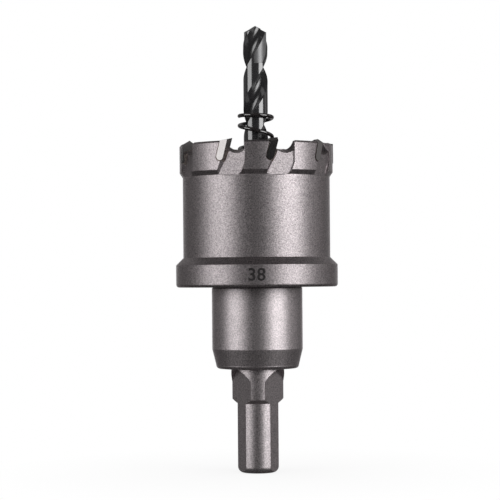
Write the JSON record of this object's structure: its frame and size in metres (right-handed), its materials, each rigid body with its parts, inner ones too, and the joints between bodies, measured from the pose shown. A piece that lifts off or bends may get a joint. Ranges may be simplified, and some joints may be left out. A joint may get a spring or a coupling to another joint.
{
  "type": "hole saw",
  "caption": "Carbide-tipped hole saw: toothed cup with a flange on a round hub, flat-sided shank, fluted pilot drill and a coil spring around it that ejects the slug.",
  "frame": {"origin": "centre of the flat end face of the shank", "axes": "+Z along the axis of rotation from the shank to the drill's point, -Y towards the side of the flange that carries the size mark"},
  "size_m": [0.0396, 0.0396, 0.1094],
  "materials": {
    "blasted_steel": "sandblasted, fine grain",
    "black_steel": "black oxide, glossy",
    "spring_steel": "blackened wire",
    "screw_steel": "black oxide, satin",
    "carbide": "ground and blasted carbide",
    "braze": "dark copper-coloured braze"
  },
  "bodies": {
    "saw": {"cutter_cup": "blasted_steel", "arbor": "blasted_steel", "pilot_drill": "black_steel", "drill_set_screw": "screw_steel", "carbide_tip_1": "carbide", "carbide_tip_2": "carbide", "carbide_tip_3": "carbide", "carbide_tip_4": "carbide", "carbide_tip_5": "carbide", "carbide_tip_6": "carbide", "carbide_tip_7": "carbide", "carbide_tip_8": "carbide", "carbide_tip_9": "carbide", "braze_joint_1": "braze", "braze_joint_2": "braze", "braze_joint_3": "braze", "braze_joint_4": "braze", "braze_joint_5": "braze", "braze_joint_6": "braze", "braze_joint_7": "braze", "braze_joint_8": "braze", "braze_joint_9": "braze"},
    "spring_coil": {"ejector_spring": "spring_steel"}
  },
  "joints": [
    {"name": "spring_travel", "type": "slide", "parent": "saw", "child": "spring_coil", "axis": [0, 0, 1], "range_m": [-0.02, 0], "stiffness_N_per_m": 1600, "deforming": ["ejector_spring"]}
  ]
}
